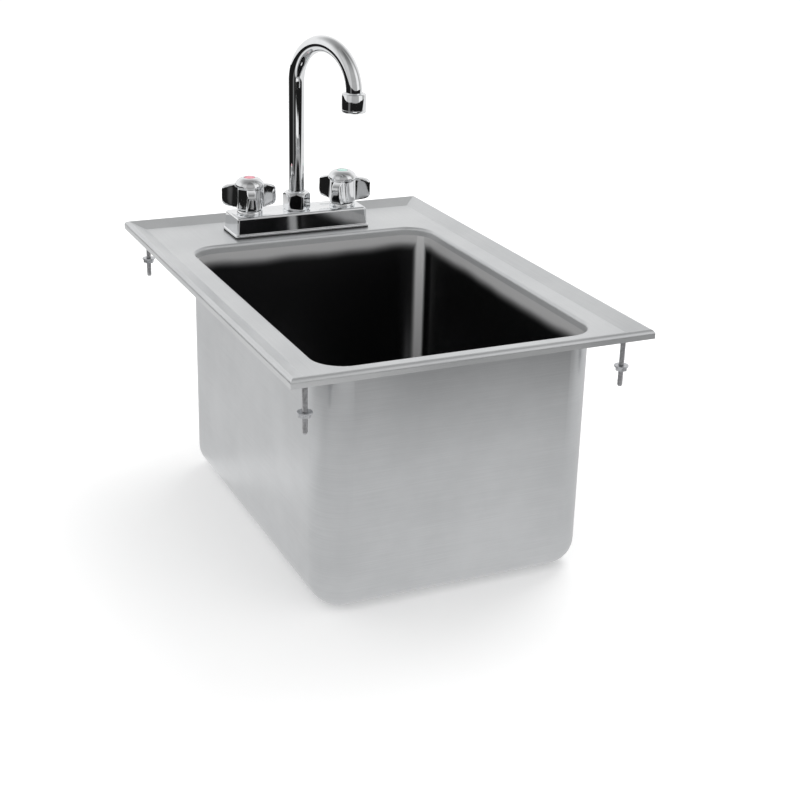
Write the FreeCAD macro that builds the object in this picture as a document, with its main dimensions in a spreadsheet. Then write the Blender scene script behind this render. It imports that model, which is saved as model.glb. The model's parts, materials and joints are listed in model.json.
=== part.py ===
import FreeCAD, Part
import math
import os
import re
import Sketcher

# Drop-in hand sink with a 4 in centreset gooseneck faucet, in millimetres.
# +Z is up, -Y is the front edge that the user stands at, and +Y is the ledge that carries the faucet.
# The origin is under the centre of the rim, on the surface that the bowl stands on.

DIMENSIONS = {
    # deck sheet and its raised edge
    "rim_width": 330.2,
    "rim_length": 482.6,
    "deck_height": 227.0,
    "sheet_gauge": 1.2,
    "edge_band": 18.0,
    "edge_rise": 6.0,
    "bead_radius": 4.0,
    "bead_drop": 2.0,
    # bowl, measured inside its walls
    "bowl_width": 254.0,
    "bowl_length": 355.6,
    "front_margin": 28.6,
    "corner_radius": 27.0,
    "floor_radius": 25.0,
    "collar_depth": 8.0,
    "lip_radius": 3.0,
    "drain_radius": 44.45,
    "seat_radius": 57.0,
    "seat_depth": 0.4,
    # threaded studs under the rim corners, with their washers and nuts
    "stud_inset": 19.0,
    "stud_radius": 2.4,
    "stud_length": 48.0,
    "weld_radius": 4.2,
    "weld_height": 1.4,
    "nut_lift": 18.0,
    "nut_flats": 9.5,
    "nut_height": 3.3,
    "nut_clearance": 0.05,
    "washer_radius": 6.35,
    "washer_thickness": 1.2,
    "washer_clearance": 0.2,
    # faucet position and its cover
    "faucet_setback": 63.3,
    "inlet_spacing": 101.6,
    "faucet_hole_radius": 14.3,
    "gasket_thickness": 1.5,
    "gasket_width": 4.0,
    "cover_width": 146.0,
    "cover_depth": 44.0,
    "cover_height": 19.5,
    "cover_wall": 2.0,
    "cover_taper": 3.0,
    "cover_corner": 3.0,
    "flange_width": 1.5,
    "flange_height": 2.4,
    # brass waterway: heights are above the deck
    "casting_bottom": 2.0,
    "barrel_radius": 13.0,
    "barrel_neck_radius": 9.6,
    "barrel_neck_rise": 6.0,
    "barrel_bore_floor": 6.5,
    "passage_height": 11.5,
    "passage_radius": 4.0,
    "passage_wall": 2.5,
    "shank_radius": 10.4,
    "shank_relief_radius": 9.8,
    "shank_relief_width": 1.2,
    "shank_bore_radius": 5.0,
    "shank_length": 45.0,
    "locknut_flats": 30.0,
    "locknut_height": 7.0,
    "shank_washer_radius": 19.0,
    "shank_washer_thickness": 1.5,
    "post_radius": 12.0,
    "post_neck_radius": 9.5,
    "post_neck_rise": 8.0,
    "post_bore_radius": 8.25,
    "post_bore_floor": 8.0,
    # quarter-turn cartridges
    "cartridge_radius": 7.5,
    "cartridge_waist_radius": 7.0,
    "cartridge_waist_top": 20.0,
    "cartridge_cavity_radius": 6.5,
    "cartridge_cavity_height": 10.0,
    "cartridge_flange_radius": 9.4,
    "cartridge_flange_height": 1.5,
    "cartridge_nose_radius": 5.0,
    "cartridge_nose_height": 3.5,
    "seal_height": 2.5,
    "seal_bore_radius": 4.0,
    "disc_thickness": 2.0,
    "disc_port_radius": 1.8,
    "disc_port_offset": 3.4,
    "port_height": 16.5,
    "port_radius": 2.0,
    "stem_radius": 3.5,
    "stem_driver_height": 1.5,
    "stem_reach": 26.0,
    "screw_radius": 2.0,
    "screw_depth": 11.0,
    "screw_head_radius": 3.9,
    "screw_head_height": 2.4,
    "screw_slot_width": 1.0,
    "bonnet_radius": 13.5,
    "bonnet_flange_height": 3.5,
    "bonnet_body_radius": 11.0,
    "bonnet_lip": 1.4,
    # three-winged handles: heights are above the cover
    "handle_bottom": 4.2,
    "handle_skirt_radius": 13.8,
    "handle_shoulder_radius": 14.8,
    "handle_shoulder_height": 28.0,
    "handle_crown_radius": 12.4,
    "handle_crown_height": 33.8,
    "handle_face_radius": 8.4,
    "handle_top": 36.5,
    "handle_skirt_bore_radius": 12.0,
    "handle_skirt_bore_top": 12.0,
    "handle_web": 3.6,
    "button_radius": 5.4,
    "button_seat_height": 33.0,
    "button_crown": 0.8,
    "wing_reach": 30.0,
    "wing_thickness": 9.0,
    "wing_bottom": 4.8,
    "wing_tip_bottom": 6.5,
    "wing_root_top": 29.0,
    "wing_tip_top": 26.0,
    "wing_rounding": 3.5,
    "hot_handle_turn": 15.0,
    "cold_handle_turn": -6.0,
    # swivelling gooseneck: heights are above the deck
    "spout_turn": 21.0,
    "tube_radius": 8.0,
    "tube_wall": 1.2,
    "arch_radius": 41.5,
    "arch_height": 152.0,
    "tip_height": 133.5,
    "sleeve_foot": 2.5,
    "sleeve_flange_radius": 9.3,
    "sleeve_flange_height": 2.0,
    "sleeve_spigot_height": 6.0,
    "sleeve_bore_radius": 5.2,
    "oring_section_radius": 0.78,
    "oring_first_height": 15.0,
    "oring_spacing": 6.5,
    "slip_ring_height": 1.2,
    "spout_nut_flats": 25.0,
    "spout_nut_height": 18.5,
    "spout_nut_chamfer": 2.2,
    # aerator at the tip
    "aerator_radius": 12.0,
    "aerator_height": 18.5,
    "aerator_lip_height": 2.0,
    "aerator_lip_radius": 9.0,
    "aerator_cap": 1.8,
    "thread_ring_radius": 10.4,
    "screen_thickness": 2.4,
    "screen_hole_radius": 1.1,
    "aerator_washer_thickness": 1.2,
    "aerator_washer_bore_radius": 5.8,
    # clearances
    "running_fit": 0.05,
    "slide_gap": 0.1,
    "free_gap": 0.3,
}

doc = FreeCAD.newDocument("drop_in_sink")
sheet = doc.addObject("Spreadsheet::Sheet", "dims")
for row, (alias, number) in enumerate(DIMENSIONS.items(), start=1):
    sheet.set(f"A{row}", alias)
    sheet.set(f"B{row}", str(number))
    sheet.setAlias(f"B{row}", alias)
doc.recompute()

parts = []
FUNCTIONS = ("sqrt", "tan", "cos", "sin", "deg")


def bound(text):
    """The expression that reads each named size in text from the sheet."""
    def prefix(match):
        word = match.group(0)
        return word if word in FUNCTIONS else "dims." + word
    return re.sub(r"[a-z][a-z_]*", prefix, text)


def size(text):
    """The present value of a size or of a sum of sizes."""
    value = sheet.evalExpression(bound(text).replace("dims.", "."))
    return float(getattr(value, "Value", value))


# Places that several pieces share, as sums of the named sizes.
BOWL_CENTRE = "(front_margin + bowl_length / 2 - rim_length / 2)"
FAUCET_LINE = "(rim_length / 2 - faucet_setback)"
DECK_UNDER = "(deck_height - sheet_gauge)"
COVER_TOP = "(gasket_thickness + cover_height)"
COVER_UNDER = "(gasket_thickness + cover_height - cover_wall)"
BARREL_TOP = f"({COVER_UNDER} + barrel_neck_rise + cover_wall)"
POST_TOP = f"({COVER_UNDER} + post_neck_rise + cover_wall)"
CARTRIDGE_FOOT = "(barrel_bore_floor + seal_height)"
CARTRIDGE_TOP = f"({BARREL_TOP} + cartridge_flange_height + cartridge_nose_height)"
CAVITY_TOP = f"({CARTRIDGE_FOOT} + cartridge_cavity_height)"
STEM_FOOT = f"({CARTRIDGE_FOOT} + 2 * disc_thickness)"
STEM_TOP = f"({COVER_TOP} + stem_reach)"
FLANGE_TOP = f"({POST_TOP} + sleeve_flange_height)"
SLIP_TOP = f"({FLANGE_TOP} + slip_ring_height)"
LOCKNUT_UNDER = "(0 - sheet_gauge - shank_washer_thickness - locknut_height)"
TUBE_END = "(tip_height + aerator_lip_height + screen_thickness + aerator_washer_thickness)"


def place(part, x="0", y="0", z="0", turn="0"):
    """Puts a sub-part at x, y, z, turned about its own vertical axis."""
    part.Placement = FreeCAD.Placement(FreeCAD.Vector(), FreeCAD.Rotation(FreeCAD.Vector(0, 0, 1), size(turn)))
    part.setExpression("Placement.Base.x", bound(x))
    part.setExpression("Placement.Base.y", bound(y))
    part.setExpression("Placement.Base.z", bound(z))
    if turn != "0":
        part.setExpression("Placement.Rotation.Angle", bound(turn))


def new_body(label, **where):
    body = doc.addObject("PartDesign::Body", label)
    body.Label = label
    place(body, **where)
    parts.append(body)
    return body


def new_sketch(body, name, plane="XY_Plane", height="0"):
    """A sketch on one of the body's own planes, raised by height along that plane's normal."""
    sketch = body.newObject("Sketcher::SketchObject", name)
    origin_plane = [f for f in body.Origin.OriginFeatures if f.Role == plane][0]
    sketch.AttachmentSupport = [(origin_plane, "")]
    sketch.MapMode = "FlatFace"
    sketch.setExpression("AttachmentOffset.Base.z", bound(height))
    return sketch


def constrain(sketch, kind, *geometry_and_value):
    """Adds a constraint whose last argument is a size expression."""
    *geometry, text = geometry_and_value
    index = sketch.addConstraint(Sketcher.Constraint(kind, *geometry, size(text)))
    sketch.setExpression(f"Constraints[{index}]", bound(text))


def draw_outline(sketch, corners, closed=True):
    """Straight lines through corners, each an (x, y) pair of size expressions."""
    points = [FreeCAD.Vector(size(x), size(y), 0) for x, y in corners]
    ends = points[1:] + points[:1] if closed else points[1:]
    lines = [sketch.addGeometry(Part.LineSegment(a, b)) for a, b in zip(points, ends)]
    for line, following in zip(lines, lines[1:]):
        sketch.addConstraint(Sketcher.Constraint("Coincident", line, 2, following, 1))
    if closed:
        sketch.addConstraint(Sketcher.Constraint("Coincident", lines[-1], 2, lines[0], 1))
    for line, (x, y) in zip(lines, corners):
        constrain(sketch, "DistanceX", -1, 1, line, 1, x)
        constrain(sketch, "DistanceY", -1, 1, line, 1, y)
    if not closed:
        constrain(sketch, "DistanceX", -1, 1, lines[-1], 2, corners[-1][0])
        constrain(sketch, "DistanceY", -1, 1, lines[-1], 2, corners[-1][1])
    return lines


def draw_rectangle(sketch, width, depth, y="0"):
    draw_outline(sketch, [
        (f"-({width}) / 2", f"{y} - ({depth}) / 2"),
        (f"({width}) / 2", f"{y} - ({depth}) / 2"),
        (f"({width}) / 2", f"{y} + ({depth}) / 2"),
        (f"-({width}) / 2", f"{y} + ({depth}) / 2"),
    ])


def draw_rounded_rectangle(sketch, width, depth, radius, y="0"):
    """Four sides joined by tangent corner arcs of one radius."""
    half_w, half_d, r, mid = size(width) / 2, size(depth) / 2, size(radius), size(y)
    start = math.radians(-90)
    quarter = math.radians(90)
    sides = [
        ((-half_w + r, mid - half_d), (half_w - r, mid - half_d)),
        ((half_w, mid - half_d + r), (half_w, mid + half_d - r)),
        ((half_w - r, mid + half_d), (-half_w + r, mid + half_d)),
        ((-half_w, mid + half_d - r), (-half_w, mid - half_d + r)),
    ]
    centres = [(half_w - r, mid - half_d + r), (half_w - r, mid + half_d - r),
               (-half_w + r, mid + half_d - r), (-half_w + r, mid - half_d + r)]
    lines = [sketch.addGeometry(Part.LineSegment(FreeCAD.Vector(*a, 0), FreeCAD.Vector(*b, 0))) for a, b in sides]
    arcs = []
    for number, centre in enumerate(centres):
        circle = Part.Circle(FreeCAD.Vector(*centre, 0), FreeCAD.Vector(0, 0, 1), r)
        first = start + number * quarter
        arcs.append(sketch.addGeometry(Part.ArcOfCircle(circle, first, first + quarter)))
    for number, (line, arc) in enumerate(zip(lines, arcs)):
        following = lines[(number + 1) % 4]
        sketch.addConstraint(Sketcher.Constraint("Tangent", line, 2, arc, 1))
        sketch.addConstraint(Sketcher.Constraint("Tangent", arc, 2, following, 1))
        sketch.addConstraint(Sketcher.Constraint("Vertical" if number % 2 else "Horizontal", line))
        constrain(sketch, "Radius", arc, radius)
    constrain(sketch, "DistanceY", -1, 1, lines[0], 1, f"{y} - ({depth}) / 2")
    constrain(sketch, "DistanceX", -1, 1, lines[1], 1, f"({width}) / 2")
    constrain(sketch, "DistanceY", -1, 1, lines[2], 1, f"{y} + ({depth}) / 2")
    constrain(sketch, "DistanceX", -1, 1, lines[3], 1, f"-({width}) / 2")


def draw_circle(sketch, radius, x="0", y="0"):
    centre = FreeCAD.Vector(size(x), size(y), 0)
    circle = sketch.addGeometry(Part.Circle(centre, FreeCAD.Vector(0, 0, 1), size(radius)))
    constrain(sketch, "Radius", circle, radius)
    constrain(sketch, "DistanceX", -1, 1, circle, 3, x)
    constrain(sketch, "DistanceY", -1, 1, circle, 3, y)


def draw_hexagon(sketch, flats, x="0", y="0"):
    """A hexagon by its width across flats, with one flat facing -Y."""
    side = f"({flats}) / 2 / sqrt(3)"
    corner = f"({flats}) / sqrt(3)"
    draw_outline(sketch, [
        (f"{x} - {side}", f"{y} - ({flats}) / 2"),
        (f"{x} + {side}", f"{y} - ({flats}) / 2"),
        (f"{x} + {corner}", y),
        (f"{x} + {side}", f"{y} + ({flats}) / 2"),
        (f"{x} - {side}", f"{y} + ({flats}) / 2"),
        (f"{x} - {corner}", y),
    ])


def pad(body, sketch, length, taper=None, midplane=False):
    feature = body.newObject("PartDesign::Pad", sketch.Name + "_pad")
    feature.Profile = sketch
    feature.setExpression("Length", bound(length))
    if taper:
        feature.setExpression("TaperAngle", bound(taper))
    feature.Midplane = midplane
    sketch.Visibility = False
    doc.recompute()
    return feature


def volume(body):
    doc.recompute()
    return body.Shape.Volume


def cut(body, kind, sketch, settings):
    """A pocket or groove, turned round if it would cut nothing."""
    before = volume(body)
    feature = body.newObject("PartDesign::" + kind, sketch.Name + "_cut")
    feature.Profile = sketch
    for key, value in settings.items():
        if isinstance(value, str) and key in ("Length", "Angle"):
            feature.setExpression(key, bound(value))
        else:
            setattr(feature, key, value)
    if volume(body) > before - 1e-6:
        feature.Reversed = not feature.Reversed
    if volume(body) > before - 1e-6:
        raise RuntimeError(f"{body.Label}: {sketch.Name} removes nothing")
    return feature


def pocket(body, sketch, length=None):
    if length:
        return cut(body, "Pocket", sketch, {"Length": length})
    return cut(body, "Pocket", sketch, {"Type": "ThroughAll", "Midplane": True})


def revolve(body, name, outline):
    """A solid turned about the body's vertical axis from (radius, height) corners."""
    sketch = new_sketch(body, name, "XZ_Plane")
    draw_outline(sketch, outline)
    feature = body.newObject("PartDesign::Revolution", name + "_turned")
    feature.Profile = sketch
    feature.ReferenceAxis = (sketch, ["V_Axis"])
    feature.Angle = 360
    doc.recompute()
    return feature


def groove(body, name, outline):
    """A ring cut about the body's vertical axis from (radius, height) corners."""
    sketch = new_sketch(body, name, "XZ_Plane")
    draw_outline(sketch, outline)
    return cut(body, "Groove", sketch, {"ReferenceAxis": (sketch, ["V_Axis"]), "Angle": 360})


def step_outline(bore, steps, foot):
    """The half section of a stepped ring: bore radius, then (outer radius, top height) steps from foot up."""
    corners = [(bore, foot)]
    low = foot
    for radius, top in steps:
        corners += [(radius, low), (radius, top)]
        low = top
    corners.append((bore, low))
    return corners


def edges_where(body, chosen):
    """Names of the edges of the body's newest feature for which chosen(edge) is true."""
    doc.recompute()
    return [f"Edge{i}" for i, edge in enumerate(body.Tip.Shape.Edges, start=1) if chosen(edge)]


def dress(body, kind, radius, chosen):
    """A fillet or chamfer on the chosen edges of the body's newest feature."""
    names = edges_where(body, chosen)
    if not names:
        raise RuntimeError(f"{body.Label}: no edge to {kind.lower()}")
    base = body.Tip
    feature = body.newObject("PartDesign::" + kind, f"{body.Label}_{kind.lower()}")
    feature.Base = (base, names)
    feature.setExpression("Radius" if kind == "Fillet" else "Size", bound(radius))
    doc.recompute()
    return feature


def at_height(edge, height):
    """True for an edge that lies flat at a height."""
    box = edge.BoundBox
    return abs(box.ZMin - height) < 1e-4 and abs(box.ZMax - height) < 1e-4


def is_upright(edge):
    box = edge.BoundBox
    return box.XLength < 1e-4 and box.YLength < 1e-4 and box.ZLength > 1e-3


# ---------------------------------------------------------------- sink

def make_rim_deck():
    """Flat deck sheet, mitred raised edge with a rolled bead, and a collar turned down into the bowl."""
    body = new_body("rim_deck")
    plate = new_sketch(body, "plate", height=DECK_UNDER)
    draw_rectangle(plate, "rim_width - 2 * edge_band", "rim_length - 2 * edge_band")
    pad(body, plate, "sheet_gauge")

    path = new_sketch(body, "edge_path", height="deck_height")
    draw_outline(path, [
        ("0", "-rim_length / 2"),
        ("rim_width / 2", "-rim_length / 2"),
        ("rim_width / 2", "rim_length / 2"),
        ("-rim_width / 2", "rim_length / 2"),
        ("-rim_width / 2", "-rim_length / 2"),
    ])
    profile = new_sketch(body, "edge_profile", "YZ_Plane")
    draw_edge_profile(profile)
    edge = body.newObject("PartDesign::AdditivePipe", "raised_edge")
    edge.Profile = profile
    edge.Spine = (path, [f"Edge{i}" for i in range(1, 6)])
    edge.Transition = "Right corner"
    doc.recompute()

    collar = new_sketch(body, "collar", height="deck_height - collar_depth")
    draw_rounded_rectangle(collar, "bowl_width + 2 * sheet_gauge", "bowl_length + 2 * sheet_gauge",
                           "corner_radius + sheet_gauge", BOWL_CENTRE)
    pad(body, collar, "collar_depth")
    opening = new_sketch(body, "opening", height="deck_height")
    draw_rounded_rectangle(opening, "bowl_width", "bowl_length", "corner_radius", BOWL_CENTRE)
    pocket(body, opening)
    holes = new_sketch(body, "faucet_holes", height="deck_height")
    for side in ("-", ""):
        draw_circle(holes, "faucet_hole_radius", f"{side}inlet_spacing / 2", FAUCET_LINE)
    pocket(body, holes)

    half_width = size("bowl_width / 2") + size("sheet_gauge") + 1
    inside = lambda edge: abs(edge.CenterOfMass.x) < half_width and edge.CenterOfMass.y < size(FAUCET_LINE) - 20
    on_top = lambda edge: at_height(edge, size("deck_height")) and inside(edge)
    below = lambda edge: at_height(edge, size(DECK_UNDER)) and inside(edge)
    dress(body, "Fillet", "lip_radius", on_top)
    dress(body, "Fillet", "lip_radius - sheet_gauge", below)


def draw_edge_profile(sketch):
    """Section of the raised edge: slope up from the deck, over the bead and down to the turned edge."""
    def u(text):
        return f"-rim_length / 2 + {text}"

    def w(text):
        return f"deck_height + {text}"

    bead_centre = "(edge_rise - bead_radius)"
    inner = "(bead_radius - sheet_gauge)"
    chain = [
        (u("edge_band"), w("0")),
        (u("bead_radius"), w("edge_rise")),
        (u("0"), w(bead_centre)),
        (u("0"), w("0 - bead_drop")),
        (u("sheet_gauge"), w("0 - bead_drop")),
        (u("sheet_gauge"), w(bead_centre)),
        (u("bead_radius"), w("edge_rise - sheet_gauge")),
        (u("edge_band"), w("0 - sheet_gauge")),
    ]
    points = [FreeCAD.Vector(size(x), size(y), 0) for x, y in chain]
    centre = FreeCAD.Vector(size(u("bead_radius")), size(w(bead_centre)), 0)
    normal = FreeCAD.Vector(0, 0, 1)
    outer_arc = Part.ArcOfCircle(Part.Circle(centre, normal, size("bead_radius")), math.pi / 2, math.pi)
    inner_arc = Part.ArcOfCircle(Part.Circle(centre, normal, size(inner)), math.pi / 2, math.pi)
    shapes = [
        Part.LineSegment(points[0], points[1]), outer_arc,
        Part.LineSegment(points[2], points[3]), Part.LineSegment(points[3], points[4]),
        Part.LineSegment(points[4], points[5]), inner_arc,
        Part.LineSegment(points[6], points[7]), Part.LineSegment(points[7], points[0]),
    ]
    sides = [sketch.addGeometry(shape) for shape in shapes]
    # the inner arc runs from its crest to its outer side, against the order of the outline
    starts = {5: 2}
    ends = {5: 1}
    for number, side in enumerate(sides):
        following = (number + 1) % len(sides)
        sketch.addConstraint(Sketcher.Constraint(
            "Coincident", side, ends.get(number, 2), sides[following], starts.get(following, 1)))
    for number in (0, 2, 3, 4, 6, 7):
        x, y = chain[number]
        constrain(sketch, "DistanceX", -1, 1, sides[number], 1, x)
        constrain(sketch, "DistanceY", -1, 1, sides[number], 1, y)
    constrain(sketch, "DistanceX", -1, 1, sides[0], 2, chain[1][0])
    constrain(sketch, "DistanceY", -1, 1, sides[0], 2, chain[1][1])
    constrain(sketch, "DistanceX", -1, 1, sides[4], 2, chain[5][0])
    constrain(sketch, "DistanceY", -1, 1, sides[4], 2, chain[5][1])
    constrain(sketch, "Radius", sides[1], "bead_radius")
    constrain(sketch, "Radius", sides[5], inner)


def make_bowl():
    """Deep bowl of one sheet, welded to the underside of the deck's collar."""
    body = new_body("bowl", y=BOWL_CENTRE)
    outside = new_sketch(body, "bowl_outside")
    draw_rounded_rectangle(outside, "bowl_width + 2 * sheet_gauge", "bowl_length + 2 * sheet_gauge",
                           "corner_radius + sheet_gauge")
    pad(body, outside, "deck_height - collar_depth")
    dress(body, "Fillet", "floor_radius", lambda edge: at_height(edge, 0))
    rim_height = size("deck_height - collar_depth")
    top = [f"Face{i}" for i, face in enumerate(body.Tip.Shape.Faces, start=1)
           if abs(face.BoundBox.ZMin - rim_height) < 1e-4]
    base = body.Tip
    shell = body.newObject("PartDesign::Thickness", "bowl_shell")
    shell.Base = (base, top)
    shell.setExpression("Value", bound("sheet_gauge"))
    shell.Reversed = True
    doc.recompute()
    drain = new_sketch(body, "drain_hole")
    draw_circle(drain, "drain_radius")
    pocket(body, drain)
    groove(body, "drain_seat", [
        ("0", "sheet_gauge - seat_depth"), ("seat_radius", "sheet_gauge - seat_depth"),
        ("seat_radius", "sheet_gauge"), ("0", "sheet_gauge"),
    ])


def make_studs():
    """Four threaded studs, each with its weld bead, as one group of separate solids."""
    studs = []
    for side_x in ("-", ""):
        for side_y in ("-", ""):
            number = len(studs) + 1
            rod = doc.addObject("Part::Cylinder", f"stud_rod_{number}")
            rod.setExpression("Radius", bound("stud_radius"))
            rod.setExpression("Height", bound("stud_length"))
            place(rod, f"{side_x}(rim_width / 2 - stud_inset)", f"{side_y}(rim_length / 2 - stud_inset)",
                  f"{DECK_UNDER} - stud_length")
            weld = doc.addObject("Part::Cone", f"stud_weld_{number}")
            weld.setExpression("Radius1", bound("stud_radius"))
            weld.setExpression("Radius2", bound("weld_radius"))
            weld.setExpression("Height", bound("weld_height"))
            place(weld, f"{side_x}(rim_width / 2 - stud_inset)", f"{side_y}(rim_length / 2 - stud_inset)",
                  f"{DECK_UNDER} - weld_height")
            stud = doc.addObject("Part::Fuse", f"stud_{number}")
            stud.Base = rod
            stud.Tool = weld
            studs.append(stud)
    group = doc.addObject("Part::Compound", "mounting_studs")
    group.Label = "mounting_studs"
    group.Links = studs
    parts.append(group)


def make_nut(label, flats, height, bore, chamfer, **where):
    """Hexagon nut with its top corners turned off."""
    body = new_body(label, **where)
    outline = new_sketch(body, label + "_hexagon")
    draw_hexagon(outline, flats)
    pad(body, outline, height)
    hole = new_sketch(body, label + "_bore")
    draw_circle(hole, bore)
    pocket(body, hole)
    corner = f"(({flats}) / sqrt(3))"
    groove(body, label + "_chamfer", [
        (f"{corner} - ({chamfer})", height), (f"{corner} + ({chamfer})", height),
        (f"{corner} + ({chamfer})", f"({height}) - 2 * ({chamfer})"),
    ])
    return body


def make_ring(label, outer, bore, thickness, **where):
    """Flat washer or ring."""
    body = new_body(label, **where)
    revolve(body, label + "_section", step_outline(bore, [(outer, thickness)], "0"))
    return body


def make_stud_fasteners():
    """A washer on top of a hex nut on each stud."""
    corners = {"front_left": ("-", "-"), "front_right": ("", "-"), "rear_left": ("-", ""), "rear_right": ("", "")}
    nut_top = f"({DECK_UNDER} - stud_length + nut_lift)"
    for name, (side_x, side_y) in corners.items():
        x = f"{side_x}(rim_width / 2 - stud_inset)"
        y = f"{side_y}(rim_length / 2 - stud_inset)"
        make_nut("stud_nut_" + name, "nut_flats", "nut_height", "stud_radius + nut_clearance",
                 "nut_flats * 0.06", x=x, y=y, z=f"{nut_top} - nut_height")
        make_ring("stud_washer_" + name, "washer_radius", "stud_radius + washer_clearance",
                  "washer_thickness", x=x, y=y, z=nut_top)


# ---------------------------------------------------------------- faucet

FAUCET_PLACE = {"y": FAUCET_LINE, "z": "deck_height"}


def valve_place(side, turn="0"):
    """Where the hot valve (on the left) or the cold valve (on the right) stands."""
    sign = "-" if side == "hot" else ""
    return {"x": f"{sign}inlet_spacing / 2", "y": FAUCET_LINE, "z": "deck_height", "turn": turn}


def make_gasket():
    """Rubber frame between the cover's foot and the deck."""
    body = new_body("deck_gasket", **FAUCET_PLACE)
    frame = new_sketch(body, "gasket_frame")
    draw_rounded_rectangle(frame, "cover_width", "cover_depth", "cover_corner + flange_width")
    draw_rounded_rectangle(frame, "cover_width - 2 * gasket_width", "cover_depth - 2 * gasket_width",
                           "cover_corner")
    pad(body, frame, "gasket_thickness")


def make_cover():
    """Rectangular plated cover with a foot flange, open underneath."""
    body = new_body("faucet_cover", **FAUCET_PLACE)
    block = new_sketch(body, "cover_block", height="gasket_thickness")
    draw_rounded_rectangle(block, "cover_width - 2 * flange_width", "cover_depth - 2 * flange_width",
                           "cover_corner")
    pad(body, block, "cover_height", taper="-cover_taper")
    dress(body, "Fillet", "cover_wall", lambda edge: at_height(edge, size(COVER_TOP)))
    flange = new_sketch(body, "cover_flange", height="gasket_thickness")
    draw_rounded_rectangle(flange, "cover_width", "cover_depth", "cover_corner + flange_width")
    pad(body, flange, "flange_height")
    dress(body, "Fillet", "flange_width / 2", lambda edge: at_height(edge, size("gasket_thickness + flange_height"))
          and max(abs(edge.CenterOfMass.x) / size("cover_width"), abs(edge.CenterOfMass.y) / size("cover_depth"))
          > 0.495)
    hollow = new_sketch(body, "cover_hollow", height="gasket_thickness")
    draw_rounded_rectangle(hollow, "cover_width - 2 * flange_width - 3 * cover_wall",
                           "cover_depth - 2 * flange_width - 3 * cover_wall", "cover_corner")
    pocket(body, hollow, "cover_height - cover_wall")
    holes = new_sketch(body, "cover_holes", height=COVER_TOP)
    for side in ("-", ""):
        draw_circle(holes, "barrel_neck_radius + free_gap", f"{side}inlet_spacing / 2")
    draw_circle(holes, "post_neck_radius + free_gap")
    pocket(body, holes)


def make_waterway():
    """Brass casting: two valve barrels on threaded shanks, a cross passage and the spout post."""
    shaft = "passage_radius + passage_wall"
    tools = []
    solids = []

    def column(name, radius, low, high, x="0", into=solids):
        cylinder = doc.addObject("Part::Cylinder", name)
        cylinder.setExpression("Radius", bound(radius))
        cylinder.setExpression("Height", bound(f"({high}) - ({low})"))
        place(cylinder, x=x, z=low)
        into.append(cylinder)

    for side, sign in (("hot", "-"), ("cold", "")):
        x = f"{sign}inlet_spacing / 2"
        column("barrel_" + side, "barrel_radius", "casting_bottom", COVER_UNDER, x)
        column("neck_" + side, "barrel_neck_radius", COVER_UNDER, BARREL_TOP, x)
        column("shank_end_" + side, "shank_radius", "-shank_length", f"{LOCKNUT_UNDER} - shank_relief_width", x)
        column("shank_relief_" + side, "shank_relief_radius", f"{LOCKNUT_UNDER} - shank_relief_width",
               LOCKNUT_UNDER, x)
        column("shank_" + side, "shank_radius", LOCKNUT_UNDER, "casting_bottom", x)
        column("barrel_bore_" + side, "cartridge_radius + slide_gap", "barrel_bore_floor", BARREL_TOP, x, tools)
        column("shank_bore_" + side, "shank_bore_radius", "-shank_length", "barrel_bore_floor", x, tools)
    column("post", "post_radius", "casting_bottom", COVER_UNDER)
    column("post_neck", "post_neck_radius", COVER_UNDER, POST_TOP)
    column("post_bore", "post_bore_radius", "post_bore_floor", POST_TOP, into=tools)

    for name, radius, into in (("cross_tube", shaft, solids), ("cross_bore", "passage_radius", tools)):
        tube = doc.addObject("Part::Cylinder", name)
        tube.setExpression("Radius", bound(radius))
        tube.setExpression("Height", bound("inlet_spacing"))
        tube.Placement = FreeCAD.Placement(FreeCAD.Vector(), FreeCAD.Rotation(FreeCAD.Vector(0, 1, 0), 90))
        tube.setExpression("Placement.Base.x", bound("-inlet_spacing / 2"))
        tube.setExpression("Placement.Base.z", bound("passage_height"))
        into.append(tube)

    outside = doc.addObject("Part::MultiFuse", "waterway_outside")
    outside.Shapes = solids
    bores = doc.addObject("Part::MultiFuse", "waterway_bores")
    bores.Shapes = tools
    waterway = doc.addObject("Part::Cut", "waterway")
    waterway.Label = "waterway"
    waterway.Base = outside
    waterway.Tool = bores
    place(waterway, **FAUCET_PLACE)
    parts.append(waterway)


def make_shank_fasteners():
    """Large washers and lock nuts that clamp the faucet to the deck from below."""
    for label, outer, thickness, top, hexagonal in (
            ("shank_washers", "shank_washer_radius", "shank_washer_thickness", "0 - sheet_gauge", False),
            ("shank_locknuts", "locknut_flats", "locknut_height",
             "0 - sheet_gauge - shank_washer_thickness", True)):
        rings = []
        for side, sign in (("hot", "-"), ("cold", "")):
            if hexagonal:
                outside = doc.addObject("Part::Prism", f"{label}_{side}_outside")
                outside.Polygon = 6
                outside.setExpression("Circumradius", bound(f"{outer} / sqrt(3)"))
            else:
                outside = doc.addObject("Part::Cylinder", f"{label}_{side}_outside")
                outside.setExpression("Radius", bound(outer))
            outside.setExpression("Height", bound(thickness))
            bore = doc.addObject("Part::Cylinder", f"{label}_{side}_bore")
            bore.setExpression("Radius", bound("shank_radius + slide_gap"))
            bore.setExpression("Height", bound(thickness))
            ring = doc.addObject("Part::Cut", f"{label}_{side}")
            ring.Base = outside
            ring.Tool = bore
            place(ring, x=f"{sign}inlet_spacing / 2", z=f"{top} - {thickness}")
            rings.append(ring)
        group = doc.addObject("Part::Compound", label)
        group.Label = label
        group.Links = rings
        place(group, **FAUCET_PLACE)
        parts.append(group)


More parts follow.
